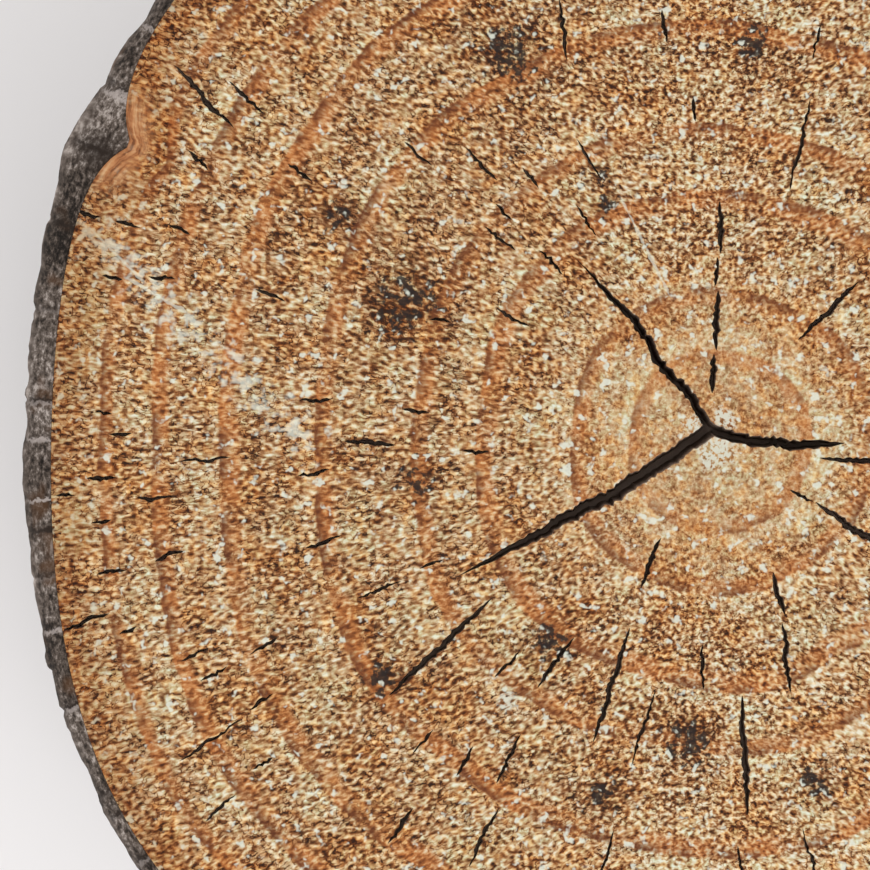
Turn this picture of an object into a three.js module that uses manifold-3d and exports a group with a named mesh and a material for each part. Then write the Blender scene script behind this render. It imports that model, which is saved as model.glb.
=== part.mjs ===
// A tree stump seat: a short length of trunk, sawn flat at both ends, with its bark still on.
// Millimetres, +Z up. The origin is on the floor, under the middle of the stump's outline.
import * as THREE from "three";
import { mergeVertices } from "three/addons/utils/BufferGeometryUtils.js";
import Module from "manifold-3d";

// Driving dimensions, in millimetres. Radii are measured from the pith.
const SEAT_HEIGHT = 420;
const WOOD_RADIUS = 187; // to the outermost ring, away from the flats and swells
const BARK_THICKNESS = 6.5; // at the sawn rim
const BARK_GAIN = 3.5; // how much thicker the bark is lower down
const GROWTH_GAP = 0.3; // between the wood and the bark that grew on it

// Bark plates: columns between upright furrows that wander, so that they draw together and part,
// each column broken across at its own heights.
const PLATE_COLUMNS = 48;
const PLATE_HEIGHT = 92;
const PLATE_STEP = 1.8; // how far one plate stands out of the next
const FURROW_DEPTH = 5;
const FURROW_SHARE = 1 / 3; // of a column, from the furrow's bottom to the flat of the plate
const FURROW_WANDER = 0.38; // of a column, to either side
const FURROW_WAVE = 230; // height of one full wander
const BREAK_SHARE = 0.16; // of a plate's height, from the middle of a break to the flat of the plate
const BREAK_DEPTH = 2.4;

// Facets round the stump, a furrow and two edges of a plate to a column, and the levels of its side.
const SIDES = 3 * PLATE_COLUMNS;
const BARK_LEVELS = 24;
const WOOD_LEVELS = 4;

// Flats, swells and clefts of the wood's outline, in degrees and millimetres.
// Power 2 is a soft swell or hollow, and power 1 comes to a sharp line.
const CLEFT = { at: 152.5, spread: 3, rise: -9, power: 1 };
const WOOD_OUTLINE = [
  { at: 178, spread: 26, rise: -10, power: 2 },
  { at: 217, spread: 18, rise: 2.5, power: 2 },
  { at: 262, spread: 24, rise: -3, power: 2 },
  { at: 298, spread: 7, rise: -5, power: 2 },
  { at: 20, spread: 30, rise: 3, power: 2 },
  { at: 74, spread: 22, rise: -4, power: 2 },
];
// Where the bark is thicker or thinner than elsewhere.
const BARK_OUTLINE = [
  { at: 180, spread: 12, rise: 1.8, power: 2 },
  { at: 156, spread: 5, rise: 2, power: 2 },
  { at: 143, spread: 8, rise: -1.8, power: 2 },
  { at: 212, spread: 12, rise: -1.6, power: 2 },
];

// The trunk widens into its roots towards the floor, and draws in a little at mid height.
const ROOT_FLARE = 6;
const ROOTS = [
  { at: 12, spread: 20, rise: 13, power: 2 },
  { at: 84, spread: 17, rise: 9, power: 2 },
  { at: 150, spread: 22, rise: 11, power: 2 },
  { at: 222, spread: 19, rise: 14, power: 2 },
  { at: 300, spread: 18, rise: 8, power: 2 },
];
const FLARE_HEIGHT = 75;
const WAIST = 2.5;

// The sawn rim of the bark: how much lower than the wood, and how far its edge is worn round.
const RIM_DROP = 0.8;
const RIM_ROUND = 11;
const RELIEF_FADE = 60; // below the rim, where the plates reach their full relief
const RIM_RELIEF = 0.2; // of the full relief, left at the rim

// Drying cracks in the seat: angle at the inner and the outer end in degrees, the radii of
// those ends, the width and the depth. The first three are the splits that meet at the pith.
const CRACKS = [
  { from: -147, to: -151.3, inner: 1, outer: 81, width: 5.4, depth: 46 },
  { from: 112, to: 127.5, inner: 1, outer: 58, width: 3, depth: 34 },
  { from: 4, to: -4, inner: 1, outer: 33.5, width: 3.6, depth: 34 },
  { from: 87, to: 88, inner: 11.5, outer: 63, width: 1.7, depth: 16 },
  { from: 48, to: 46, inner: 34, outer: 57, width: 1.7, depth: 14 },
  { from: -11.5, to: -8, inner: 29, outer: 62, width: 1.6, depth: 14 },
  { from: -34, to: -33, inner: 27, outer: 66, width: 1.9, depth: 16 },
  { from: -65, to: -73, inner: 39, outer: 72, width: 1.6, depth: 14 },
  { from: -83.4, to: -84.6, inner: 69, outer: 102, width: 1.7, depth: 14 },
  { from: -116, to: -115, inner: 30, outer: 46, width: 1.6, depth: 12 },
  { from: -113, to: -112, inner: 56, outer: 77, width: 1.6, depth: 12 },
  { from: -143.6, to: -141, inner: 73, outer: 111, width: 1.6, depth: 12 },
  { from: 132.6, to: 133, inner: 58, outer: 84, width: 1.3, depth: 10 },
  { from: 146.9, to: 146.3, inner: 154, outer: 171, width: 1.5, depth: 10 },
  { from: -178, to: -179, inner: 84, outer: 100, width: 1.5, depth: 10 },
  { from: -163.7, to: -163.2, inner: 168, outer: 181, width: 1.6, depth: 12 },
  { from: 72, to: 74, inner: 68, outer: 95, width: 1.4, depth: 12 },
  { from: -52, to: -50, inner: 92, outer: 140, width: 1.9, depth: 16 },
  { from: 14, to: 15.5, inner: 78, outer: 128, width: 2, depth: 16 },
  { from: -14, to: -13, inner: 118, outer: 172, width: 1.8, depth: 16 },
  { from: 48, to: 47, inner: 112, outer: 165, width: 1.8, depth: 16 },
];
const CRACK_STEPS = 7;
const CRACK_WANDER = 0.9; // to either side of its line
const CRACK_WAVE = 5; // of its length, for one radian of wander
const CRACK_TIP = 0.24; // width left at its ends
const CRACK_FLOOR_SHARE = 0.2; // of its width at the seat, left at its floor
const CUT_CLEARANCE = 5; // a cutting body stands this far out of what it cuts

const wasm = await Module();
wasm.setup();

// Sum of the outline's flats and swells at an angle in radians.
function swell(features, angle) {
  return features.reduce((sum, { at, spread, rise, power }) => {
    const away = THREE.MathUtils.euclideanModulo(THREE.MathUtils.radToDeg(angle) - at + 180, 360) - 180;
    return sum + rise * Math.exp(-Math.pow(Math.abs(away) / spread, power));
  }, 0);
}

// How far roots and waist move the trunk's side out at a height.
function flare(angle, z) {
  const root = ROOT_FLARE + swell(ROOTS, angle);
  return root * Math.exp(-z / FLARE_HEIGHT) - WAIST * Math.sin((Math.PI * z) / SEAT_HEIGHT);
}

function woodRadius(angle, z) {
  return WOOD_RADIUS + swell([...WOOD_OUTLINE, CLEFT], angle) + flare(angle, z);
}

// A repeatable number from 0 to 1 for each plate of each column.
function plateChance(column, plate) {
  const turn = THREE.MathUtils.euclideanModulo(column, PLATE_COLUMNS);
  const wave = Math.sin(turn * 12.9898 + plate * 78.233) * 43758.5453;
  return wave - Math.floor(wave);
}

// Where a furrow runs at a height, counted in columns round the stump.
function furrowAt(furrow, z) {
  const turn = z / FURROW_WAVE + plateChance(furrow, 0);
  return furrow + FURROW_WANDER * Math.sin(2 * Math.PI * turn);
}

// Height of the bark's relief over its mean surface, at a share of the way across a column.
function barkRelief(column, share, z) {
  const up = z / PLATE_HEIGHT + plateChance(column, 1);
  const fromBreak = Math.abs(up - Math.round(up));
  const broken = 1 - THREE.MathUtils.smoothstep(fromBreak, 0, BREAK_SHARE);
  const step = PLATE_STEP * (plateChance(column, 2 + Math.floor(up)) - 0.5);
  const flat = THREE.MathUtils.smoothstep(Math.min(share, 1 - share), 0, FURROW_SHARE);
  return flat * (step - BREAK_DEPTH * broken) - FURROW_DEPTH * (1 - flat);
}

// The bark's outside at a height, as [angle, radius]. The angle leans with the furrows beside it.
function barkPoint(angle, z) {
  const station = (PLATE_COLUMNS * angle) / (2 * Math.PI);
  const column = Math.floor(station);
  const share = station - column;
  const leaning = THREE.MathUtils.lerp(furrowAt(column, z), furrowAt(column + 1, z), share);
  const turn = (2 * Math.PI * leaning) / PLATE_COLUMNS;
  const mean = WOOD_RADIUS + swell(WOOD_OUTLINE, turn) + flare(turn, z);
  const fade = THREE.MathUtils.smoothstep(SEAT_HEIGHT - z, 0, RELIEF_FADE);
  const thickness = BARK_THICKNESS + BARK_GAIN * fade + swell(BARK_OUTLINE, turn);
  const relief = barkRelief(column, share, z) * THREE.MathUtils.lerp(RIM_RELIEF, 1, fade);
  return [turn, mean + thickness + relief];
}

// A closed body from a profile of [share, height] points turned round the pith, where pointAt
// gives the angle and the radius of that share for each angle and height.
function turned(profile, pointAt) {
  const points = profile.map(([share, z]) => new THREE.Vector2(share, z));
  const geometry = new THREE.LatheGeometry(points, SIDES).rotateX(Math.PI / 2);
  const position = geometry.getAttribute("position");
  for (let i = 0; i < position.count; i++) {
    const angle = Math.atan2(position.getY(i), position.getX(i));
    const share = Math.hypot(position.getX(i), position.getY(i));
    const [turn, radius] = pointAt(share, angle, position.getZ(i));
    position.setXY(i, radius * Math.cos(turn), radius * Math.sin(turn));
  }
  return geometry;
}

// A geometry as a solid that can be cut.
function solid(geometry) {
  const bare = geometry.clone().deleteAttribute("normal").deleteAttribute("uv");
  const merged = mergeVertices(bare, 1e-3);
  return new wasm.Manifold(
    new wasm.Mesh({
      numProp: 3,
      vertProperties: merged.getAttribute("position").array,
      triVerts: new Uint32Array(merged.index.array),
    }),
  );
}

function geometryOf(body) {
  const mesh = body.getMesh();
  return new THREE.BufferGeometry()
    .setAttribute("position", new THREE.BufferAttribute(mesh.vertProperties, 3))
    .setIndex(new THREE.BufferAttribute(mesh.triVerts, 1));
}

// Heights from the floor to the top in equal steps.
function levels(top, count) {
  return Array.from({ length: count + 1 }, (_, i) => (top * i) / count);
}

// The middle line of a crack at a share of its length.
function crackPoint({ from, to, inner, outer }, share) {
  const radius = THREE.MathUtils.lerp(inner, outer, share);
  const wander = CRACK_WANDER * Math.sin(radius / CRACK_WAVE + from) * Math.sin(Math.PI * share);
  const angle = THREE.MathUtils.degToRad(THREE.MathUtils.lerp(from, to, share));
  const along = new THREE.Vector2(Math.cos(angle), Math.sin(angle));
  const aside = new THREE.Vector2(-along.y, along.x);
  return { centre: along.multiplyScalar(radius).addScaledVector(aside, wander), aside };
}

// The wedge that a crack takes out of the seat, closing towards its floor and its tips.
function crackWedge(crack) {
  const { inner, outer, width, depth } = crack;
  const fromPith = inner < width;
  const rows = levels(1, CRACK_STEPS).map((share) => {
    const { centre, aside } = crackPoint(crack, share);
    const taper = fromPith ? Math.sqrt(1 - share) : Math.sqrt(Math.sin(Math.PI * share));
    const half = Math.max(CRACK_TIP, width * taper) / 2;
    return [-half, half].map((side) => centre.clone().addScaledVector(aside, side));
  });
  const right = rows.map(([point]) => point);
  const left = rows.map(([, point]) => point).reverse();
  const shape = new THREE.Shape([...right, ...left]);
  const height = depth + CUT_CLEARANCE;
  const geometry = new THREE.ExtrudeGeometry(shape, { depth: height, bevelEnabled: false });
  const position = geometry.getAttribute("position");
  for (let i = 0; i < position.count; i++) {
    if (position.getZ(i) > 0) continue;
    const radius = Math.hypot(position.getX(i), position.getY(i));
    const share = THREE.MathUtils.clamp((radius - inner) / (outer - inner), 0, 1);
    const { centre } = crackPoint(crack, share);
    const point = new THREE.Vector2(position.getX(i), position.getY(i));
    point.lerp(centre, 1 - CRACK_FLOOR_SHARE);
    position.setXY(i, point.x, point.y);
  }
  return geometry.translate(0, 0, SEAT_HEIGHT - depth);
}

// The side of the wood, or of the space it takes up in the bark: one profile for both, so that
// their facets lie alike.
function woodSide() {
  return levels(SEAT_HEIGHT, WOOD_LEVELS).map((z) => [1, z]);
}

// The wood: heartwood and sapwood as one body, with the drying cracks cut into the seat.
function makeWood() {
  const profile = [[0, 0], ...woodSide(), [0, SEAT_HEIGHT]];
  const trunk = turned(profile, (share, angle, z) => [angle, share * woodRadius(angle, z)]);
  const cracked = CRACKS.reduce((body, crack) => body.subtract(solid(crackWedge(crack))), solid(trunk));
  const material = new THREE.MeshStandardMaterial({ color: 0xb98a58, roughness: 0.85, metalness: 0 });
  const mesh = new THREE.Mesh(geometryOf(cracked), material);
  mesh.name = "wood";
  return mesh;
}

// The bark: one sleeve round the wood, with furrows and plates on its outside and a worn rim.
// A share of 1 is its inner face and 2 its outer face.
function makeBark() {
  const rim = SEAT_HEIGHT - RIM_DROP;
  const outside = levels(rim - RIM_ROUND, BARK_LEVELS).map((z) => [2, z]);
  const roundedRim = [30, 60, 90].map((degrees) => {
    const turn = THREE.MathUtils.degToRad(degrees);
    return [1 + Math.cos(turn), rim - RIM_ROUND * (1 - Math.sin(turn))];
  });
  const trunk = turned([[0, 0], ...outside, ...roundedRim, [0, rim]], (share, angle, z) => {
    const [turn, outer] = barkPoint(angle, z);
    const inner = woodRadius(turn, z) + GROWTH_GAP;
    return [turn, Math.min(share, 1) * THREE.MathUtils.lerp(inner, outer, Math.max(0, share - 1))];
  });
  const below = -CUT_CLEARANCE;
  const above = SEAT_HEIGHT + CUT_CLEARANCE;
  const hollow = turned(
    [[0, below], [1, below], ...woodSide(), [1, above], [0, above]],
    (share, angle, z) => [angle, share * (woodRadius(angle, z) + GROWTH_GAP)],
  );
  const material = new THREE.MeshStandardMaterial({ color: 0x695c54, roughness: 0.95, metalness: 0 });
  const mesh = new THREE.Mesh(geometryOf(solid(trunk).subtract(solid(hollow))), material);
  mesh.name = "bark";
  return mesh;
}

// The pith is off the middle of the outline, so both pieces move until the outline is centred.
const stump = new THREE.Group();
stump.add(makeWood(), makeBark());
const middle = new THREE.Box3().setFromObject(stump).getCenter(new THREE.Vector3());
stump.children.forEach((mesh) => mesh.position.set(-middle.x, -middle.y, 0));

export default stump;
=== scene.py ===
# Tree stump seat: a length of trunk sawn flat at both ends, with its bark still on.
# Metres, +Z up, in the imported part's frame. Each mesh is shaped in millimetres from the pith.
import math
import random
from bisect import bisect
from functools import lru_cache

import bmesh
import bpy
from mathutils import Matrix, Vector, noise


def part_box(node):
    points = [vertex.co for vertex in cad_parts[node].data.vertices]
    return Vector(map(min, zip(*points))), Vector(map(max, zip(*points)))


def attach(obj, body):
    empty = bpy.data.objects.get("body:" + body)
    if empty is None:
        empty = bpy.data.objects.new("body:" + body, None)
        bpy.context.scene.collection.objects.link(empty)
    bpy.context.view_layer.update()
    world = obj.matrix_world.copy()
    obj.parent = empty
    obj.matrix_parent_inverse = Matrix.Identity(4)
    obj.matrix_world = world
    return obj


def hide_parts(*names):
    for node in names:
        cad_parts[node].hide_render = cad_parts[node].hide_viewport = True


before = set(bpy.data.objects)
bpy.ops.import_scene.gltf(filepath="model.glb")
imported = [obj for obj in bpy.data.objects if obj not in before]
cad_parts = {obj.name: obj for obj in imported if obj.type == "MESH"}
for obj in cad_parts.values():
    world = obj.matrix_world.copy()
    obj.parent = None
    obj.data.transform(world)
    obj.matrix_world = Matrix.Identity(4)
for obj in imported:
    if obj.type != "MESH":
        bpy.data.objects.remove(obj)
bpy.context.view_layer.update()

# The wood: heartwood and sapwood of one trunk, sawn across at both ends and left to dry.
# The saw tore the seat's grain, and drying split it open from the pith outwards. The lower
# saw cut is the foot that it stands on.
MM = 0.001
PITH = Vector((-9.39, -3.96, 0)) * MM  # off the middle of the outline
SEAT_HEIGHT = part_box("wood")[1].z / MM
WOOD_RADIUS = 187
EDGE_WEAR = 0.7  # the seat's edge is worn round by this much

# Flats, swells and clefts of an outline: angle and spread in degrees, rise, and a power of 2 for a
# soft form or 1 for one that comes to a sharp line.
WOOD_OUTLINE = (
    (178, 26, -10, 2),
    (217, 18, 2.5, 2),
    (262, 24, -3, 2),
    (298, 7, -5, 2),
    (20, 30, 3, 2),
    (74, 22, -4, 2),
)
CLEFT = ((153.4, 3, -9, 1),)
ROOTS = ((12, 20, 13, 2), (84, 17, 9, 2), (150, 22, 11, 2), (222, 19, 14, 2), (300, 18, 8, 2))
ROOT_FLARE = 6
FLARE_HEIGHT = 75
WAIST = 2.5
TURN_STEPS = 40  # to a degree


@lru_cache(maxsize=None)
def swell_at(features, turn):
    total = 0
    for at, spread, rise, power in features:
        away = abs((turn / TURN_STEPS - at + 180) % 360 - 180)
        total += rise * math.exp(-((away / spread) ** power))
    return total


def swell(features, angle):
    """Sum of an outline's forms at an angle in radians."""
    return swell_at(features, round(math.degrees(angle) * TURN_STEPS))


def flare(angle, z):
    """How far roots and waist move the trunk's side out at a height."""
    root = ROOT_FLARE + swell(ROOTS, angle)
    return root * math.exp(-z / FLARE_HEIGHT) - WAIST * math.sin(math.pi * z / SEAT_HEIGHT)


def wood_radius(angle, z):
    return WOOD_RADIUS + swell(WOOD_OUTLINE + CLEFT, angle) + flare(angle, z)


def smooth_step(value, low, high):
    share = min(max((value - low) / (high - low), 0), 1)
    return share * share * (3 - 2 * share)


def wave(x, y, size, seed=0):
    """Smooth noise from -1 to 1 whose lumps are about this size."""
    return noise.noise(Vector((x / size, y / size, seed)))


def lumps(x, y, waves):
    """Sum of several such noises, each given by size, rise and seed."""
    return sum(rise * wave(x, y, size, seed) for size, rise, seed in waves)


# Year rings: radius on the cleft's side of the pith, width of the dark late wood that ends there,
# and how strongly it shows.
RINGS = (
    (23.6, 4.0, 0.7),
    (39.4, 4.5, 0.85),
    (64.3, 5.5, 0.85),
    (80.9, 4.5, 0.8),
    (107.2, 5.0, 0.95),
    (132.1, 5.5, 0.95),
    (150.1, 4.8, 0.95),
    (164.0, 3.8, 0.85),
)
RING_RADIUS = 177  # where a ring's radius is measured, that of the whole wood
RING_DROP = 0.6  # past a ring's end, to the pale wood of the next year
INNER_SHIFT = Vector((2.2, -1.8))  # the middle of the innermost rings, from the pith
CLEFT_BEND = (0.8, 0.95)  # how far out the rings begin to bend round the cleft, and follow it
RING_RIPPLES = ((34, 0.009, 0), (9, 0.004, 5))
EVEN_RINGS = 0.25  # inside this share of the way out the rings ripple less


def ring_share(x, y):
    """How far out among the rings a point of the seat is: 0 at the pith and 1 under the bark."""
    angle = math.atan2(y, x)
    whole = WOOD_RADIUS + swell(WOOD_OUTLINE, angle)
    edge = whole + swell(CLEFT, angle) * smooth_step(math.hypot(x, y) / whole, *CLEFT_BEND)
    inward = max(0, 1 - math.hypot(x, y) / edge)
    share = math.hypot(x - INNER_SHIFT.x * inward, y - INNER_SHIFT.y * inward) / edge
    return share + min(1, share / EVEN_RINGS) * lumps(x, y, RING_RIPPLES)


def late_wood(share):
    """How dark and hard the wood is at a share of the way out: it rises to each ring's end."""
    radius = share * RING_RADIUS
    for end, band, strength in RINGS:
        if end - band < radius < end + RING_DROP:
            rise = (radius - end + band) / band
            fall = (end + RING_DROP - radius) / RING_DROP
            return strength * min(rise, fall, 1)
    return 0


MERGE_DISTANCE = 5e-5


def turned(profile, sides):
    """A body from (share, height) points turned round the pith."""
    rows = len(profile) - 1
    body = bmesh.new()
    bmesh.ops.create_grid(body, x_segments=sides, y_segments=rows, size=0.5)
    for vert in body.verts:
        share, z = profile[round((vert.co.y + 0.5) * rows)]
        angle = math.tau * round((vert.co.x + 0.5) * sides) / sides
        vert.co = (share * math.cos(angle), share * math.sin(angle), z)
    bmesh.ops.remove_doubles(body, verts=body.verts, dist=MERGE_DISTANCE)
    bmesh.ops.recalc_face_normals(body, faces=body.faces)
    return body


def piece_from(name, body):
    """A bmesh in millimetres from the pith as an object in metres, in the part's frame."""
    place = Matrix.Translation(PITH) @ Matrix.Scale(MM, 4)
    bmesh.ops.transform(body, matrix=place, verts=body.verts)
    mesh = bpy.data.meshes.new(name)
    body.to_mesh(mesh)
    body.free()
    piece = bpy.data.objects.new(name, mesh)
    bpy.context.scene.collection.objects.link(piece)
    return piece


SEAT_SIDES = 480
SEAT_RINGS = 126
SIDE_LEVELS = 6
FOOT_RINGS = 16
SEAT_RELIEF = 0.35
SAW_MARKS = ((40, 0.8, 4), (3.1, 0.35, 2), (1.6, 0.175, 3))
FOOT_RELIEF = 0.5
FOOT_MARKS = ((7, 1, 6),)
FOOT_PATCHES = ((50, 1, 7),)  # the foot is level where these change sign
FOOT_BLEND = 0.1


def wood_lift(x, y, z):
    """How far the saw and the weather left a point of the seat or the foot from level."""
    if z > SEAT_HEIGHT - EDGE_WEAR / 2:
        ridge = late_wood(ring_share(x, y)) - 0.5
        return SEAT_RELIEF * (ridge + lumps(x, y, SAW_MARKS))
    if z < EDGE_WEAR / 2:
        rough = smooth_step(abs(lumps(x, y, FOOT_PATCHES)), 0, FOOT_BLEND)
        return FOOT_RELIEF * (1 + lumps(x, y, FOOT_MARKS)) * rough
    return 0


seat = [(i / SEAT_RINGS, SEAT_HEIGHT) for i in range(SEAT_RINGS)]
edge = [(1 - EDGE_WEAR / WOOD_RADIUS, SEAT_HEIGHT), (1, SEAT_HEIGHT - EDGE_WEAR)]
side = [(1, SEAT_HEIGHT * (1 - i / SIDE_LEVELS)) for i in range(1, SIDE_LEVELS + 1)]
foot = [(1 - i / FOOT_RINGS, 0) for i in range(1, FOOT_RINGS + 1)]
wood_body = turned(seat + edge + side + foot, SEAT_SIDES)
for vert in wood_body.verts:
    angle = math.atan2(vert.co.y, vert.co.x)
    radius = math.hypot(vert.co.x, vert.co.y) * wood_radius(angle, vert.co.z)
    x = radius * math.cos(angle)
    y = radius * math.sin(angle)
    vert.co = (x, y, vert.co.z + wood_lift(x, y, vert.co.z))
wood = piece_from("wood_block", wood_body)

# Drying cracks. The splits meet at the pith, and are given by width, by how blunt their outer end
# is and by points of their middle line. The checks opened on their own further out, and are given
# by the angle at the inner and the outer end, the radii of those ends, and width.
SPLITS = (
    (
        4.7,
        3,
        (-0.2, 2.2),
        (-3.4, -0.5),
        (-7.8, -3.5),
        (-16.6, -9.4),
        (-23.3, -13.8),
        (-30, -17.8),
        (-49, -27.6),
        (-68.5, -37.8),
    ),
    (2.9, 3.5, (0.2, 1.2), (-4, 7.8), (-6.4, 11.5), (-9.4, 14.2), (-14, 20.4), (-20.1, 30.3), (-36, 47)),
    (3.4, 7, (-1.8, 2.6), (1.9, 1.1), (5.6, -0.3), (9.9, -1.6), (18.8, -2.1), (27.9, -2.4), (35.5, -1.9)),
)
CHECKS = (
    (89.5, 88.8, 11.5, 22, 1.8),
    (87, 87.6, 23, 39, 1.9),
    (89, 88.4, 40, 48, 1.2),
    (87.3, 88.1, 49, 63, 1.6),
    (48, 46.5, 34.6, 57, 1.6),
    (-11.5, -8.5, 29.5, 61, 1.8),
    (-34.7, -32.8, 25.4, 32.4, 1.1),
    (-32.6, -33.6, 33, 66, 2.1),
    (-65.8, -67.8, 40, 52, 1.6),
    (-69.4, -72.9, 53.5, 72, 1.6),
    (-83.4, -84.6, 70, 102, 1.9),
    (-116.5, -115, 30.5, 45, 1.5),
    (-113.2, -111.2, 56, 88, 1.6),
    (-124.4, -124.7, 65.5, 82, 1.4),
    (-143.6, -141.2, 73.5, 111, 1.8),
    (-122.7, -121.8, 95, 109.5, 1.2),
    (-127.6, -126.9, 105, 114, 1.2),
    (-119.8, -119.4, 115, 132.5, 1.2),
    (-92.5, -92, 56, 68, 1.2),
    (-102.6, -103.7, 69.5, 91, 1.0),
    (-86.4, -86, 110, 126, 1.2),
    (-77, -76.6, 108, 127, 1.0),
    (-104, -104.4, 109, 125, 1.0),
    (132.8, 133, 59, 68, 1.2),
    (136.6, 137.4, 72.5, 83, 1.0),
    (120, 120.4, 62, 72, 1.0),
    (130, 130.5, 89.5, 102, 1.1),
    (136, 136.3, 104.5, 114, 1.0),
    (147.5, 147.3, 127, 135, 1.3),
    (147.2, 145.4, 152.5, 175, 1.5),
    (160.3, 160.5, 174, 181, 1.2),
    (156.5, 157.6, 76.5, 82, 1.0),
    (149, 149.3, 57, 67.5, 1.0),
    (-178.4, -179.2, 85, 98.5, 1.4),
    (-177.5, -177.2, 129, 143, 1.0),
    (-163.6, -163.3, 168.5, 181.5, 1.4),
    (-165, -164.6, 103, 113, 1.2),
    (-155, -155.4, 92, 104.5, 1.0),
    (-143, -142.7, 160, 170.5, 1.0),
    (-128.8, -128.5, 128, 139.5, 1.3),
    (93, 93.2, 84.5, 91, 1.2),
    (72.4, 73.7, 69, 94, 1.2),
    (75, 75.2, 104.5, 114, 1.0),
    (-154.6, -154.4, 144, 152, 1.1),
    (-149, -148.6, 147.5, 167, 1.0),
    (-167.1, -167.3, 161, 169, 1.2),
    (113.3, 114.5, 74.5, 87.5, 0.9),
    (111.1, 109.3, 108, 124, 1.2),
    (96.5, 96.7, 106, 115, 1.2),
    (125, 125.2, 81, 88, 1.0),
    (132.8, 133, 79, 85, 1.0),
    (144.3, 143.7, 148, 160.5, 1.1),
    (158.9, 158.7, 150, 156.5, 1.1),
    (165.1, 165.3, 163.5, 169, 1.2),
    (162.5, 162.2, 120, 128.5, 1.1),
    (174.3, 175.1, 102, 111, 1.1),
    (-175, -174.5, 103, 111.5, 1.1),
    (-176.1, -176.5, 60, 67, 1.1),
    (175.3, 175, 76, 83.5, 1.1),
    (177.9, 177.8, 161, 165.5, 1.0),
    (179.7, 179.8, 155.5, 162, 1.0),
    (-176, -176.1, 160, 168, 1.3),
    (-174.7, -174.8, 171.5, 176.5, 1.0),
    (-173.5, -174, 145, 155.5, 1.1),
    (-167.7, -167.3, 145, 153, 1.3),
    (-172.1, -172, 162.5, 168, 1.1),
    (160, 160.2, 163, 170, 1.1),
    (152.2, 151.4, 152.5, 160, 1.2),
    (163.7, 164.2, 150, 157, 1.1),
    (-161.7, -161.5, 162.5, 167.5, 1.1),
    (-155.2, -154.7, 128, 137, 1.1),
    (-157.2, -157, 147, 154.5, 1.0),
    (-149.6, -149.3, 136.5, 144, 1.1),
    (-143.8, -144, 146, 152, 1.1),
    (-131.9, -132, 77, 87, 1.0),
    (-133.5, -133.3, 108.5, 117, 1.0),
    (-155.3, -155.6, 79.5, 86, 1.0),
    (-52, -50, 92, 140, 1.9),
    (14, 15.5, 78, 128, 2.0),
    (-14, -13, 118, 172, 1.8),
    (48, 47, 112, 165, 1.8),
    (-31, -30.2, 98, 121, 1.4),
    (30, 30.6, 64, 86, 1.3),
    (1, 0.4, 96, 112, 1.2),
    (33, 32.4, 138, 158, 1.2),
    (-66, -65.4, 142, 164, 1.3),
    (62, 62.6, 128, 150, 1.2),
    (-40, -40.5, 150, 171, 1.2),
)
SPLIT_DEPTH = 22
CHECK_DEPTH = 5.5  # for each millimetre of width
CHECK_OPEN = 1.25  # how much wider the seat's edges of a check have worn
CRACK_STEP = 0.9  # along a crack, between its jags
CRACK_PARTS = 6  # at least
CRACK_JAG = 0.35  # to either side, and at most a quarter of the width
CRACK_WANDER = 0.9
WANDER_LENGTH = 6
CRACK_END = 0.3  # of its depth, left at its ends
CRACK_FLOOR = 0.35  # of its width, left at its floor
CRACK_TIP = 0.12
CUT_CLEARANCE = 4


LINE_END = 1e-6  # a line's last point may be this far past it


def check_taper(share):
    return math.sqrt(max(0, math.sin(math.pi * share)))


def on_line(points, share):
    """The point at a share of the way along a line of points, and the line's direction there."""
    lengths = [(after - before).length for before, after in zip(points, points[1:])]
    left = share * sum(lengths)
    for before, after, length in zip(points, points[1:], lengths):
        if left <= length + LINE_END:
            break
        left -= length
    along = (after - before).normalized()
    return before + along * min(left, length), along


def crack_body(points, width, seed, depth, taper):
    """The wedge that one crack takes out of the seat."""
    draw = random.Random(seed)
    length = sum((after - before).length for before, after in zip(points, points[1:]))
    steps = max(CRACK_PARTS, round(length / CRACK_STEP))
    jags = {side: [draw.uniform(-1, 1) for _ in range(steps + 1)] for side in (-1, 0, 1)}
    body = bmesh.new()
    bmesh.ops.create_cube(body, size=1)
    lengthwise = [edge for edge in body.edges if abs(edge.verts[0].co.x - edge.verts[1].co.x) > 0.5]
    bmesh.ops.subdivide_edges(body, edges=lengthwise, cuts=steps - 1)
    jag = min(CRACK_JAG, width / 4)
    for vert in body.verts:
        share = vert.co.x + 0.5
        station = round(share * steps)
        side = 1 if vert.co.y > 0 else -1
        middle, along = on_line(points, share)
        aside = Vector((-along.y, along.x))
        half = max(CRACK_TIP, width * taper(share) / 2 + jag * jags[side][station] * taper(share))
        wander = CRACK_WANDER * wave(share * length, 0, WANDER_LENGTH, seed + 0.5) + jag * jags[0][station]
        z = SEAT_HEIGHT + CUT_CLEARANCE
        if vert.co.z < 0:
            half *= CRACK_FLOOR
            z = SEAT_HEIGHT - depth * (CRACK_END + (1 - CRACK_END) * taper(share))
        place = middle + aside * (wander * math.sin(math.pi * share) + side * half)
        vert.co = (place.x, place.y, z)
    bmesh.ops.recalc_face_normals(body, faces=body.faces)
    return body


def seat_point(degrees, radius):
    return Vector((math.cos(math.radians(degrees)), math.sin(math.radians(degrees)))) * radius


def joined(bodies):
    """Several bmeshes as one."""
    whole = bmesh.new()
    for body in bodies:
        mesh = bpy.data.meshes.new("crack")
        body.to_mesh(mesh)
        body.free()
        whole.from_mesh(mesh)
        bpy.data.meshes.remove(mesh)
    return whole


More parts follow.
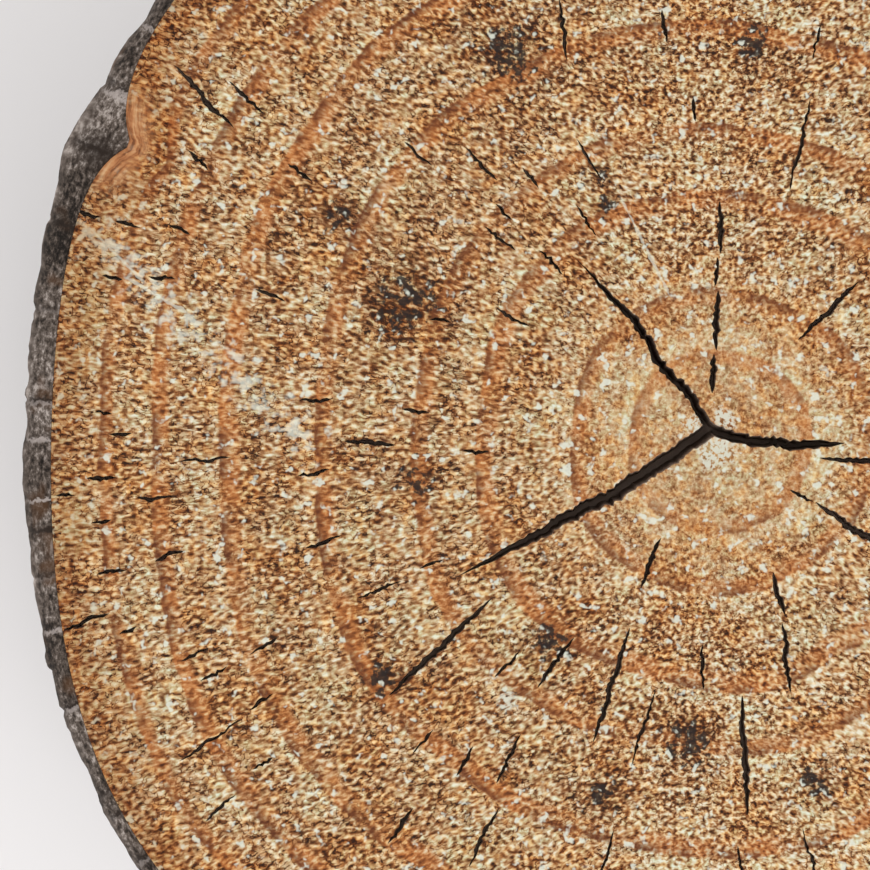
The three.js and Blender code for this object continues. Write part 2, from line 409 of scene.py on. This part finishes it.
def cut_out(piece, bodies):
    """Cuts the shapes of some bmeshes out of a piece."""
    helpers = [piece_from("crack", body) for body in bodies]
    for helper in helpers:
        cut = piece.modifiers.new("crack", "BOOLEAN")
        cut.operation = "DIFFERENCE"
        cut.solver = "MANIFOLD"
        cut.object = helper
    whole = piece.data
    piece.data = bpy.data.meshes.new_from_object(
        piece.evaluated_get(bpy.context.evaluated_depsgraph_get())
    )
    piece.modifiers.clear()
    bpy.data.meshes.remove(whole)
    for helper in helpers:
        bpy.data.meshes.remove(helper.data)


cutters = []
for seed, (width, blunt, *points) in enumerate(SPLITS):
    points = [Vector(point) for point in points]
    cutters.append(crack_body(points, width, seed, SPLIT_DEPTH, lambda share: 1 - share**blunt))
checks = []
for seed, (start, end, inner, outer, width) in enumerate(CHECKS, start=len(SPLITS)):
    points = [seat_point(start, inner), seat_point(end, outer)]
    checks.append(crack_body(points, CHECK_OPEN * width, seed, CHECK_DEPTH * width, check_taper))
cutters.append(joined(checks))
cut_out(wood, cutters)

# What the wood's colours follow: its rings, the stains of mould on the seat as place and size, a
# pale scrape and fine scratches from one end to the other, and rust-brown wood along the cleft.
STAINS = (
    (-82, 36, 12),
    (-80, -12, 7),
    (-43, -55, 7),
    (-6, -82, 9),
    (28, -92, 6),
    (-29, -96, 6),
    (-89, -65, 7),
    (-54, 102, 11),
    (-29, 62, 4),
    (-31, 70, 3.5),
    (-100, 59, 6),
    (11, 106, 7),
    (62, 40, 8),
    (96, -30, 9),
    (70, -110, 8),
    (120, 66, 7),
)
SCRAPE_START = Vector((-167, 55))
SCRAPE_END = Vector((-108, -2))
SCRAPE_WIDTH = 7
SCRATCHES = (
    (Vector((-25, 65)), Vector((-10.5, 36))),
    (Vector((-168, 57)), Vector((-151, 40))),
    (Vector((-158, 43)), Vector((-139, 32))),
)
RUST_PLACE = seat_point(CLEFT[0][0], 178)
RUST_SIZE = 17


def stain_at(x, y):
    return max(math.exp(-((math.hypot(x - sx, y - sy) / size) ** 2)) for sx, sy, size in STAINS)


def scrape_at(x, y):
    along = SCRAPE_END - SCRAPE_START
    point = Vector((x, y))
    share = min(max((point - SCRAPE_START).dot(along) / along.length_squared, 0), 1)
    return math.exp(-(((point - SCRAPE_START - along * share).length / SCRAPE_WIDTH) ** 2))


def mark(piece, name, value_at):
    """Stores a number for each of a piece's points, worked out in millimetres from the pith."""
    points = [(vert.co - PITH) / MM for vert in piece.data.vertices]
    values = [value_at(point) for point in points]
    piece.data.attributes.new(name, "FLOAT", "POINT").data.foreach_set("value", values)


mark(wood, "ring", lambda point: ring_share(point.x, point.y))
mark(wood, "stain", lambda point: stain_at(point.x, point.y))
mark(wood, "scrape", lambda point: scrape_at(point.x, point.y))
mark(wood, "rust", lambda point: math.exp(-(((point.xy - RUST_PLACE).length / RUST_SIZE) ** 2)))


class Value:
    """A number or colour that changes over a surface. Arithmetic on it adds Math nodes."""

    def __init__(self, finish, socket):
        self.finish = finish
        self.socket = socket

    def math(self, operation, *values):
        return self.finish.node("ShaderNodeMath", {"operation": operation}, dict(enumerate(values)))

    def __add__(self, other):
        return self.math("ADD", self, other)

    def __sub__(self, other):
        return self.math("SUBTRACT", self, other)

    def __mul__(self, other):
        return self.math("MULTIPLY", self, other)

    def __truediv__(self, other):
        return self.math("DIVIDE", self, other)

    def __abs__(self):
        return self.math("ABSOLUTE", self)

    def __radd__(self, other):
        return self.math("ADD", other, self)

    def __rsub__(self, other):
        return self.math("SUBTRACT", other, self)

    def __rmul__(self, other):
        return self.math("MULTIPLY", other, self)


class Finish:
    """A material. node() adds a node of any type, sets it, feeds its sockets and gives an output."""

    def __init__(self, name, roughness):
        self.material = bpy.data.materials.new(name)
        self.material.use_nodes = True
        self.tree = self.material.node_tree
        self.shader = self.tree.nodes["Principled BSDF"]
        self.shader.inputs["Roughness"].default_value = roughness
        self.shader.inputs["Specular IOR Level"].default_value = 0.2

    def feed(self, socket, value):
        if isinstance(value, Value):
            self.tree.links.new(value.socket, socket)
        else:
            socket.default_value = value

    def node(self, kind, settings=(), inputs=(), output=0):
        node = self.tree.nodes.new(kind)
        for name, value in dict(settings).items():
            if name == "stops":
                self.set_stops(node.color_ramp, value)
            else:
                setattr(node, name, value)
        for name, value in dict(inputs).items():
            self.feed(node.inputs[name], value)
        return Value(self, node.outputs[output])

    def set_stops(self, ramp, stops):
        while len(ramp.elements) < len(stops):
            ramp.elements.new(1)
        for element, (position, colour) in zip(ramp.elements, sorted(stops)):
            element.position = position
            element.color = colour

    def vector(self, operation, *values, output=0):
        return self.node("ShaderNodeVectorMath", {"operation": operation}, enumerate(values), output)

    def stretch(self, vector, x, y, z):
        return self.vector("MULTIPLY", vector, (x, y, z))

    def attribute(self, name):
        return self.node("ShaderNodeAttribute", {"attribute_name": name}, output="Fac")

    def noise(self, vector, scale, detail=0, rough=0.5, output=0):
        inputs = {"Vector": vector, "Scale": scale, "Detail": detail, "Roughness": rough}
        return self.node("ShaderNodeTexNoise", inputs=inputs, output=output)

    def step(self, value, low, high):
        """0 below low and 1 above high, with a soft change between them."""
        inputs = {"Value": value, "From Min": low, "From Max": high}
        return self.node("ShaderNodeMapRange", {"interpolation_type": "SMOOTHSTEP"}, inputs)

    def ramp(self, value, stops):
        return self.node("ShaderNodeValToRGB", {"stops": stops}, {0: value})

    def mix(self, below, above, share, blend="MIX"):
        settings = {"data_type": "RGBA", "blend_type": blend}
        return self.node("ShaderNodeMix", settings, {0: share, 6: below, 7: above}, output=2)

    def bump(self, height, distance, strength):
        inputs = {"Height": height, "Distance": distance, "Strength": strength}
        self.feed(self.shader.inputs["Normal"], self.node("ShaderNodeBump", inputs=inputs))


SEAT_LIGHT = 1.28  # how bright the studio makes a white seat


def paint(red, green, blue):
    """A colour given as 0 to 255 on screen, under the studio's light, as the shader's linear one."""
    channels = [channel / 255 for channel in (red, green, blue)]
    linear = [c / 12.92 if c < 0.04 else ((c + 0.055) / 1.055) ** 2.4 for c in channels]
    return (*(c / SEAT_LIGHT for c in linear), 1)


def grey(level):
    return (level, level, level, 1)


# Colours of the torn end grain, from the pits between its fibres to their dry tips, each with its
# place among all the fibres in steps of their usual spread. Their dark end is partly the pits' own
# colour and partly painted shade, and their pale end partly painted light on the tips. Late wood has
# colours of its own, run the same way.
FIBRES = (
    (-2.4, paint(48, 30, 22)),
    (-1.8, paint(82, 47, 25)),
    (-1.3, paint(108, 66, 38)),
    (-0.7, paint(146, 100, 64)),
    (0, paint(186, 147, 107)),
    (0.7, paint(208, 180, 143)),
    (1.3, paint(219, 202, 172)),
    (1.9, paint(227, 216, 193)),
    (2.5, paint(236, 231, 214)),
)
LATE_FIBRES = (
    (-2.2, paint(92, 46, 26)),
    (-1.1, paint(150, 86, 44)),
    (0, paint(194, 118, 62)),
    (1.1, paint(212, 147, 90)),
    (2.2, paint(222, 180, 130)),
)
EARLY_BAND = 9  # pale wood past each ring's end
FIBRE_RANGE = 2.6  # a ramp runs over this many spreads to either side
FIBRE_SPREAD = 0.062
FIBRE_LENGTH = 0.42  # between the samples along a fibre
FIBRE_SCALE = 0.78
GAP_SCALE = 0.58
PIT_LIFT = 0.25  # of a pit's darkness, partly painted shade, taken back out to lighten it
RING_LINE = paint(98, 52, 32)
MOULD = paint(44, 36, 33)
BLEACHED = paint(226, 229, 214)
CORE_WHITE = paint(215, 214, 198)
PALE_PATCHES = ((1.3, -3.9, 4.6), (3.4, 4.6, 2.8), (-4.8, 2.9, 2.4), (-55, -71, 2.2))  # place, size
CRACK_BROWN = paint(180, 158, 143)
EDGE_BROWN = (0.78, 0.62, 0.48, 1)
CURLED_FIBRES = (
    (0.3, paint(112, 66, 42)),
    (0.45, paint(178, 116, 74)),
    (0.55, paint(200, 142, 96)),
    (0.7, paint(220, 178, 134)),
)

grain = Finish("torn_end_grain", roughness=0.9)
object_place = grain.node("ShaderNodeTexCoord", output="Object")
place = grain.vector("MULTIPLY_ADD", object_place, (1 / MM,) * 3, tuple(-PITH / MM))
level = grain.stretch(place, 1, 1, 0)
radius = grain.vector("LENGTH", level, output="Value")
outward = grain.vector("NORMALIZE", level)
outward_x = grain.node("ShaderNodeSeparateXYZ", inputs={0: outward}, output="X")
outward_y = grain.node("ShaderNodeSeparateXYZ", inputs={0: outward}, output="Y")
across = 0.35 + 0.65 * abs(outward_x)
drag = grain.node("ShaderNodeCombineXYZ", inputs={0: across, 1: outward_y * outward_x * 0.8})
reach = FIBRE_LENGTH * grain.step(radius, 15, 70)
fibre = grain.node("ShaderNodeVectorMath", {"operation": "SCALE"}, {0: drag, "Scale": reach})
wobble = grain.noise(level, 0.5, detail=1, output="Color")
bent = grain.vector("MULTIPLY_ADD", wobble, (0.9, 0.9, 0), level)
torn = 0
apart = 0
for step in (-1, 0, 1):
    sample = grain.vector("MULTIPLY_ADD", fibre, (step,) * 3, bent)
    torn = torn + grain.noise(sample, FIBRE_SCALE, detail=2, rough=0.6) / 3
    apart = apart + grain.noise(sample, GAP_SCALE, detail=2, rough=0.6) / 3
# Painted shade: dark lines where the torn fibres part, for the shade in the gaps between them.
gap_shade = 1 - grain.step(abs(apart - 0.5), 0.004, 0.026)


def among_fibres(tones):
    """Ramp stops from colours given by their place among the fibres."""
    return [((tone + FIBRE_RANGE) / (2 * FIBRE_RANGE), colour) for tone, colour in tones]


tone = grain.noise(level, 0.05, detail=2) - 0.5
cloud = grain.noise(level, 0.16, detail=1) - 0.5
contrast = 0.4 + 0.6 * grain.step(radius, 20, 62)
# Partly painted shade and light: the tone follows the same noise as the bump, so pits are painted darker
# and tips lighter.
fleck = (torn - 0.5) * contrast / (2 * FIBRE_RANGE * FIBRE_SPREAD) + 0.5
# Lightens the pits' painted shade a little.
pit = grain.node("ShaderNodeMath", {"operation": "MAXIMUM"}, {0: 0.5 - fleck, 1: 0})
fleck = fleck + pit * PIT_LIFT
stain = grain.attribute("stain")
gap_shade = gap_shade * contrast * grain.step(grain.noise(level, 0.12, detail=2), 0.36, 0.56)
share = grain.attribute("ring") + (grain.noise(level, 0.5, detail=2) - 0.5) * 0.008
late_stops = []
line_stops = []
early_stops = []
for end, band, strength in RINGS:
    late_stops += [((end - band) / RING_RADIUS, grey(0)), (end / RING_RADIUS, grey(strength))]
    late_stops.append(((end - band * 0.75) / RING_RADIUS, grey(strength * 0.75)))
    late_stops.append(((end + RING_DROP) / RING_RADIUS, grey(0)))
    line_stops += [((end - 2.6) / RING_RADIUS, grey(0)), (end / RING_RADIUS, grey(strength))]
    line_stops.append(((end + 0.5) / RING_RADIUS, grey(0)))
    early_stops += [(end / RING_RADIUS, grey(0)), ((end + 1) / RING_RADIUS, grey(1))]
    early_stops.append(((end + EARLY_BAND) / RING_RADIUS, grey(0)))
early = grain.ramp(share, early_stops)
height = fleck + tone * 0.35 + cloud * 0.42 + (1 - contrast) * 0.1 - stain * 0.2 - gap_shade * 0.42
# Painted light: the seat is painted lighter towards the lower right, the side that the lamp shines from.
painted_light_reach = grain.vector("DOT_PRODUCT", level, (1, -1, 0), output="Value")
height = height + early * 0.09 + grain.step(painted_light_reach, 40, 130) * 0.06 - 0.03
colour = grain.ramp(height, among_fibres(FIBRES))
hue = grain.noise(level, 0.42, detail=2)
colour = grain.mix(colour, (1.09, 0.95, 0.75, 1), grain.step(hue, 0.5, 0.62), "MULTIPLY")
colour = grain.mix(colour, (0.95, 1.03, 1, 1), 1 - grain.step(hue, 0.38, 0.48), "MULTIPLY")
colour = grain.mix(colour, (1.06, 0.96, 0.82, 1), 1 - grain.step(tone, -0.12, -0.01), "MULTIPLY")
colour = grain.mix(colour, (0.96, 1.02, 1.02, 1), grain.step(tone, 0.01, 0.12), "MULTIPLY")
warm = grain.step(grain.noise(level, 0.14, detail=3), 0.4, 0.62)
colour = grain.mix(colour, (1.06, 0.95, 0.76, 1), warm * 0.6, "MULTIPLY")

patchy = grain.step(grain.noise(level, 0.055, detail=3, rough=0.6), 0.4, 0.6)
late = grain.ramp(share, late_stops) * (0.3 + 0.62 * patchy)
late_colour = grain.ramp(fleck + cloud * 0.25, among_fibres(LATE_FIBRES))
colour = grain.mix(colour, late_colour, late)
lined = grain.step(grain.noise(level, 0.09, detail=3), 0.44, 0.56)
colour = grain.mix(colour, RING_LINE, grain.ramp(share, line_stops) * lined * 0.9)

speckle = grain.noise(level, 0.3, detail=3, rough=0.65)
mould = grain.step(stain * 0.8 + (speckle - 0.5) * 2.6, 0.55, 0.8)
colour = grain.mix(colour, MOULD, mould * 0.92)
bleach = grain.noise(bent, 0.3, detail=2, rough=0.55)
near_core = 1 - grain.step(radius, 25, 70)
bare = grain.step(bleach + near_core * 0.02 + early * 0.02, 0.61, 0.71)
scraped = grain.step(grain.attribute("scrape") * 0.2 + bleach, 0.64, 0.81) * 0.75
pale = grain.node("ShaderNodeMath", {"operation": "MAXIMUM"}, {0: bare, 1: scraped})
colour = grain.mix(colour, BLEACHED, pale * 0.85)
for start, end in SCRATCHES:
    along = (end - start).normalized()
    from_start = grain.vector("SUBTRACT", level, (*start, 0))
    reached = grain.vector("DOT_PRODUCT", from_start, (*along, 0), output="Value")
    aside = grain.vector("DOT_PRODUCT", from_start, (-along.y, along.x, 0), output="Value")
    length = (end - start).length
    within = grain.step(reached, 0, 3) * (1 - grain.step(reached, length - 3, length))
    scratch = (1 - grain.step(abs(aside) + (bleach - 0.5) * 2, 0.1, 0.45)) * within
    colour = grain.mix(colour, BLEACHED, scratch * 0.5)
core = 0
for x, y, size in PALE_PATCHES:
    from_patch = grain.vector("DISTANCE", level, (x, y, 0), output="Value") / size
    core = core + 1 - grain.step(from_patch + (speckle - 0.5) * 3, 0.7, 1.4)
colour = grain.mix(colour, CORE_WHITE, core * grain.step(torn, 0.41, 0.52) * 0.92)
rim_brown = grain.step(share + tone * 0.1 + grain.attribute("rust") * 0.1, 0.9, 0.99)
colour = grain.mix(colour, EDGE_BROWN, rim_brown * 0.9, "MULTIPLY")
outer = grain.node("ShaderNodeCombineXYZ", inputs={2: share * RING_RADIUS})
curls = grain.noise(grain.vector("MULTIPLY_ADD", level, (0.08, 0.08, 0), outer), 1, detail=3)
curled = grain.step(grain.attribute("rust"), 0.3, 0.85) * grain.step(share + tone * 0.1, 0.92, 0.99)
colour = grain.mix(colour, grain.ramp(curls, CURLED_FIBRES), curled * 0.85)
up = grain.node("ShaderNodeSeparateXYZ", inputs={0: place}, output="Z")
deep = 1 - grain.step(up, SEAT_HEIGHT - 2.2, SEAT_HEIGHT - 0.8)
colour = grain.mix(colour, CRACK_BROWN, deep)
grain.feed(grain.shader.inputs["Base Color"], colour)
grain.bump(torn, 0.8 * MM, 0.4)


def finish_piece(piece, finish, node, sharp_angle):
    """Gives a piece its shading, finish and place in the part."""
    piece.data.materials.clear()
    piece.data.materials.append(finish.material)
    piece.data.shade_smooth()
    piece.data.set_sharp_from_angle(angle=math.radians(sharp_angle))
    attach(piece, "root")
    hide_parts(node)


finish_piece(wood, grain, "wood", 40)

# The bark: dead outer bark that still grips the wood all round, one sleeve of upright plates that
# growth tore apart along the furrows. The saw left its rim a little below the seat, where weather
# has worn it round.
BARK_THICKNESS = 6.5
BARK_GAIN = 1.8
BARK_OUTLINE = ((180, 12, 1.8, 2), (156, 5, 2, 2), (143, 8, -1.8, 2), (212, 12, -1.6, 2))
GROWTH_GAP = 0.1
PLATE_COLUMNS = 48
PLATE_HEIGHT = 92
PLATE_STEP = 1.8
FURROW_DEPTH = 5
FURROW_SHARE = 1 / 3
FURROW_WANDER = 0.38
FURROW_WAVE = 230
FURROW_JOG = 0.012
BREAK_SHARE = 0.16
BREAK_DEPTH = 2.4
RIM_DROP = 0.8
RIM_ROUND = 11
RELIEF_FADE = 60
RIM_RELIEF = 0.06
RIM_FLAKES = 0.12  # of the flakes' relief, left at the rim
NOTCH_SPREAD = 0.35  # of a crack across the rim, in degrees to either side
NOTCH_DEPTH = 0.8

# Flakes, fine cracks and grit on the plates: width and height of each, and how high or deep it is.
FLAKE_SIZE = (9, 34)
FLAKE_STEP = 0.6
FLAKE_LAYERS = 5
FLAKE_EDGE = (0.35, 0.65)  # from one layer to the next
FINE_CRACK_SIZE = (4.2, 15)
FINE_CRACK_DEPTH = 1.7
FINE_CRACK_EDGE = 0.12
GRIT_SIZE = (1.7, 6)
GRIT_RISE = 0.45

BARK_SIDES = 20 * PLATE_COLUMNS
BARK_LEVELS = 78
RIM_STEPS = 12
INSIDE_LEVELS = 3

# Where the sawn rim is cracked across: angle in degrees, how far the piece of rim from there on
# stands out, and how strongly painted shade darkens the crack and how pale the torn edge beside
# it is. Those on the side of the cleft come first, and the rest follow a draw.
RIM_CRACKS = [
    (150, 0.2, 0.3, 1),
    (155, 0.5, 0.9, 0),
    (161.9, 1.2, 1, 0),
    (169, 0.5, 0.3, 0.2),
    (176.9, 0.2, 0.9, 0.5),
    (180, 0.5, 0.2, 1),
    (185.2, 0.3, 0.3, 1),
    (188, 0.5, 1, 0),
    (191.8, 0.2, 0.6, 0.2),
    (196.2, 0.4, 0.2, 0.9),
    (202.9, -0.1, 1, 0.7),
    (210.5, 0.4, 0.7, 0.1),
    (212.5, 0.1, 0.8, 0.1),
]
RIM_SPACING = (2.5, 6)
RIM_STEP = (-0.3, 0.6)
rim_draw = random.Random(11)
while RIM_CRACKS[-1][0] < 360 + RIM_CRACKS[0][0] - RIM_SPACING[1]:
    turn = RIM_CRACKS[-1][0] + rim_draw.uniform(*RIM_SPACING)
    RIM_CRACKS.append((turn, rim_draw.uniform(*RIM_STEP), rim_draw.random(), rim_draw.random()))


def plate_chance(column, plate):
    """A repeatable number from 0 to 1 for each plate of each column."""
    swing = math.sin(column % PLATE_COLUMNS * 12.9898 + plate * 78.233) * 43758.5453
    return swing - math.floor(swing)


def furrow_at(furrow, z):
    """Where a furrow runs at a height, counted in columns round the stump."""
    turn = z / FURROW_WAVE + plate_chance(furrow, 0)
    return furrow + FURROW_WANDER * math.sin(math.tau * turn)


def plate_relief(column, share, z):
    """Height of the plates and furrows at a share of the way across a column."""
    up = z / PLATE_HEIGHT + plate_chance(column, 1)
    broken = 1 - smooth_step(abs(up - round(up)), 0, BREAK_SHARE)
    step = PLATE_STEP * (plate_chance(column, 2 + math.floor(up)) - 0.5)
    flat = smooth_step(min(share, 1 - share), 0, FURROW_SHARE)
    return flat * (step - BREAK_DEPTH * broken) - FURROW_DEPTH * (1 - flat)


def bark_noise(turn, z, width, height):
    """Smooth noise from -1 to 1 on the trunk's side, with lumps of this width and height."""
    reach = WOOD_RADIUS / width
    return noise.noise(Vector((reach * math.cos(turn), reach * math.sin(turn), z / height)))


def flake_relief(turn, z):
    """Height of the flakes, fine cracks and grit on the plates."""
    layers = FLAKE_LAYERS * bark_noise(turn, z, *FLAKE_SIZE)
    terrace = math.floor(layers) + smooth_step(layers - math.floor(layers), *FLAKE_EDGE)
    split = 1 - smooth_step(abs(bark_noise(turn, z, *FINE_CRACK_SIZE)), 0, FINE_CRACK_EDGE)
    grit = bark_noise(turn, z, *GRIT_SIZE)
    return FLAKE_STEP * (terrace - 1) - FINE_CRACK_DEPTH * split + GRIT_RISE * grit


def rim_crack(turn):
    """The nearest crack across the rim, how far off it is in degrees, and how far the rim steps out."""
    degrees = (math.degrees(turn) - RIM_CRACKS[0][0]) % 360 + RIM_CRACKS[0][0]
    begun = bisect(RIM_CRACKS, (degrees, 9))
    last = RIM_CRACKS[begun - 1]
    after = RIM_CRACKS[begun % len(RIM_CRACKS)]
    to_next = (after[0] - degrees) % 360
    if degrees - last[0] < to_next:
        return last, degrees - last[0], last[1]
    return after, -to_next, last[1]


def rim_fade(z):
    """0 at the rim, where the bark is smooth, and 1 where its relief is full."""
    return smooth_step(SEAT_HEIGHT - z, 0, RELIEF_FADE)


def plain_bark(turn, z):
    """Radius of the bark's outside without its plates and flakes."""
    thickness = BARK_THICKNESS + BARK_GAIN * rim_fade(z) + swell(BARK_OUTLINE, turn)
    return WOOD_RADIUS + swell(WOOD_OUTLINE, turn) + flare(turn, z) + thickness


def bark_point(angle, z):
    """The bark's outside at a height, as angle and radius. The angle leans with the furrows."""
    station = PLATE_COLUMNS * angle / math.tau
    column = math.floor(station + 1e-6)
    share = min(max(station - column, 0), 1)
    before = furrow_at(column, z)
    turn = math.tau * (before + (furrow_at(column + 1, z) - before) * share) / PLATE_COLUMNS
    fade = rim_fade(z)
    jog = wave(WOOD_RADIUS * math.cos(turn), z + WOOD_RADIUS * math.sin(turn), 17, 8)
    turn += FURROW_JOG * fade * jog
    relief = plate_relief(column, share, z) * (RIM_RELIEF + (1 - RIM_RELIEF) * fade)
    crack, away, step = rim_crack(turn)
    notch = crack[2] * (1 - smooth_step(abs(away), 0, NOTCH_SPREAD))
    rim = (step - NOTCH_DEPTH * notch) * (1 - fade)
    flakes = flake_relief(turn, z) * (RIM_FLAKES + (1 - RIM_FLAKES) * fade)
    return turn, plain_bark(turn, z) + relief + rim + flakes


rim_height = SEAT_HEIGHT - RIM_DROP
inside = [(1, rim_height * i / INSIDE_LEVELS) for i in range(INSIDE_LEVELS)]
rim = []
for i in range(RIM_STEPS + 1):
    turn = math.pi / 2 * (1 - i / RIM_STEPS)
    rim.append((1 + math.cos(turn), rim_height - RIM_ROUND * (1 - math.sin(turn))))
outside = [(2, (rim_height - RIM_ROUND) * (1 - i / BARK_LEVELS)) for i in range(1, BARK_LEVELS + 1)]
bark_body = turned(inside + rim + outside + inside[:1], BARK_SIDES)
for vert in bark_body.verts:
    share = math.hypot(vert.co.x, vert.co.y)
    turn, outer = bark_point(math.atan2(vert.co.y, vert.co.x), vert.co.z)
    inner = wood_radius(turn, vert.co.z) + GROWTH_GAP
    radius = inner + (outer - inner) * (share - 1)
    vert.co = (radius * math.cos(turn), radius * math.sin(turn), vert.co.z)
bark = piece_from("bark_sleeve", bark_body)


def bark_depth(point):
    """How deep under the plain outside a point of the bark is."""
    return plain_bark(math.atan2(point.y, point.x), point.z) - math.hypot(point.x, point.y)


MARK_FADE = (0.5, 0.95)  # in degrees off the crack


def rim_mark(point, kind):
    """How strongly the nearest crack across the rim shows, down to 0 a little way off it."""
    crack, away, _ = rim_crack(math.atan2(point.y, point.x))
    return crack[kind] * (1 - smooth_step(abs(away), *MARK_FADE))


mark(bark, "depth", bark_depth)
mark(bark, "away", lambda point: rim_crack(math.atan2(point.y, point.x))[1])
mark(bark, "dark", lambda point: rim_mark(point, 2))
mark(bark, "pale", lambda point: rim_mark(point, 3))

BARK_TONES = (
    (-2.2, paint(30, 24, 20)),
    (-1.2, paint(60, 51, 45)),
    (-0.4, paint(88, 77, 69)),
    (0.3, paint(108, 96, 88)),
    (1.1, paint(140, 128, 120)),
    (2.1, paint(192, 180, 172)),
)
BARK_SPREAD = 0.07
# Painted shade, for the furrows, the hollow at the cleft and the cracks across the rim.
SHADE_BROWN = paint(45, 35, 29)
INNER_BROWN = paint(96, 66, 42)
LICHEN = paint(190, 178, 172)
HOLLOW_PLACE = seat_point(155.2, 181)  # painted shade makes the rim darkest here, where the cleft holds it deep

skin = Finish("weathered_bark", roughness=0.92)
object_place = skin.node("ShaderNodeTexCoord", output="Object")
place = skin.vector("MULTIPLY_ADD", object_place, (1 / MM,) * 3, tuple(-PITH / MM))
level = skin.stretch(place, 1, 1, 0)
around = skin.vector("NORMALIZE", level)
depth = skin.attribute("depth")
up = skin.node("ShaderNodeSeparateXYZ", inputs={0: place}, output="Z")
on_rim = skin.step(up, SEAT_HEIGHT - 9, SEAT_HEIGHT - 3)
inward = skin.node("ShaderNodeCombineXYZ", inputs={2: depth * 0.8})
layers = skin.vector("MULTIPLY_ADD", around, (90, 90, 0), inward)
across = skin.noise(layers, 1, detail=6, rough=0.72)
upright = skin.noise(skin.stretch(place, 0.32, 0.32, 0.08), 1, detail=4, rough=0.58)
streak = on_rim * across + (1 - on_rim) * upright
patch = skin.noise(place, 0.045, detail=2)
worn = (0.62 + 0.38 * on_rim) / (2 * FIBRE_RANGE * BARK_SPREAD)
height = (streak - 0.5) * worn + 0.47 + (patch - 0.5) * 1.1
colour = skin.ramp(height, among_fibres(BARK_TONES))
# Painted shade: the bark's side is painted darker the deeper it lies in the furrows.
furrow_shade = skin.step(depth + (streak - 0.5) * 3, 1.2, 4.5) * (1 - on_rim)
colour = skin.mix(colour, SHADE_BROWN, furrow_shade * 0.85)
from_hollow = skin.vector("DISTANCE", level, (*HOLLOW_PLACE, 0), output="Value")
brown = skin.step(skin.noise(place, 0.07, detail=2), 0.58, 0.68) * skin.step(from_hollow, 10, 22)
colour = skin.mix(colour, INNER_BROWN, brown * (0.35 + 0.3 * on_rim))
# Painted shade: the rim is painted dark round the deep hollow at the cleft.
hollow_shade = 1 - skin.step(from_hollow + (streak - 0.5) * 9, 2, 9)
colour = skin.mix(colour, SHADE_BROWN, hollow_shade * 0.75)
ragged = (skin.noise(place, 0.5, detail=3, rough=0.65) - 0.5) * 1.3
away = skin.attribute("away") + ragged
# Painted shade: the cracks across the rim are painted dark, with a softer painted shadow to either side.
crack_shade = (1 - skin.step(abs(away), 0.08, 0.3)) * on_rim * skin.attribute("dark")
colour = skin.mix(colour, SHADE_BROWN, crack_shade * 0.9)
shadow = (1 - skin.step(abs(away), 0.2, 0.9)) * on_rim * skin.attribute("dark")
colour = skin.mix(colour, SHADE_BROWN, shadow * 0.4)
torn_edge = (1 - skin.step(abs(away - 0.3), 0.08, 0.26)) * on_rim * skin.attribute("pale")
colour = skin.mix(colour, LICHEN, torn_edge * 0.8)
skin.feed(skin.shader.inputs["Base Color"], colour)
skin.bump(streak, 1.5 * MM, 0.6)
finish_piece(bark, skin, "bark", 60)

# The studio: a plain pale floor, one wide soft lamp over the seat and pale light from all round.
FLOOR_SIZE = 8
FLOOR_COLOUR = (0.84, 0.82, 0.825, 1)
SKY_COLOUR = (1, 0.995, 0.985, 1)
SKY_STRENGTH = 1.13
LAMP_PLACE = Vector((1.2, -1.8, 2.8))
LAMP_SIZE = 2
LAMP_POWER = 30

floor_body = bmesh.new()
bmesh.ops.create_grid(floor_body, x_segments=1, y_segments=1, size=FLOOR_SIZE / 2)
floor_mesh = bpy.data.meshes.new("floor")
floor_body.to_mesh(floor_mesh)
floor_body.free()
floor = bpy.data.objects.new("floor", floor_mesh)
bpy.context.scene.collection.objects.link(floor)
floor_finish = Finish("pale_floor", roughness=0.8)
floor_finish.shader.inputs["Base Color"].default_value = FLOOR_COLOUR
floor.data.materials.append(floor_finish.material)

sky = bpy.data.worlds.new("studio")
sky.use_nodes = True
sky.node_tree.nodes["Background"].inputs["Color"].default_value = SKY_COLOUR
sky.node_tree.nodes["Background"].inputs["Strength"].default_value = SKY_STRENGTH
bpy.context.scene.world = sky

lamp_light = bpy.data.lights.new("soft_lamp", "AREA")
lamp_light.size = LAMP_SIZE
lamp_light.energy = LAMP_POWER
lamp = bpy.data.objects.new("soft_lamp", lamp_light)
lamp.location = LAMP_PLACE
aim = Vector((0, 0, SEAT_HEIGHT * MM)) - LAMP_PLACE
lamp.rotation_euler = aim.to_track_quat("-Z", "Y").to_euler()
bpy.context.scene.collection.objects.link(lamp)

# The camera looks straight down on the seat from above the left of the pith, with +Y up the picture.
PICTURE_SIDE = 870
PIXEL = 0.268 * MM  # of the seat, across one pixel
PITH_PIXEL = Vector((712, 436))
CAMERA_HEIGHT = 1.6  # above the seat
SENSOR = 36

camera_data = bpy.data.cameras.new("camera")
camera_data.sensor_width = SENSOR
camera_data.lens = SENSOR * CAMERA_HEIGHT / (PICTURE_SIDE * PIXEL)
camera = bpy.data.objects.new("camera", camera_data)
aside = (PICTURE_SIDE / 2 - PITH_PIXEL.x) * PIXEL
upward = (PITH_PIXEL.y - PICTURE_SIDE / 2) * PIXEL
camera.location = PITH + Vector((aside, upward, SEAT_HEIGHT * MM + CAMERA_HEIGHT))
bpy.context.scene.collection.objects.link(camera)
bpy.context.scene.camera = camera
bpy.context.scene.view_settings.view_transform = "Standard"
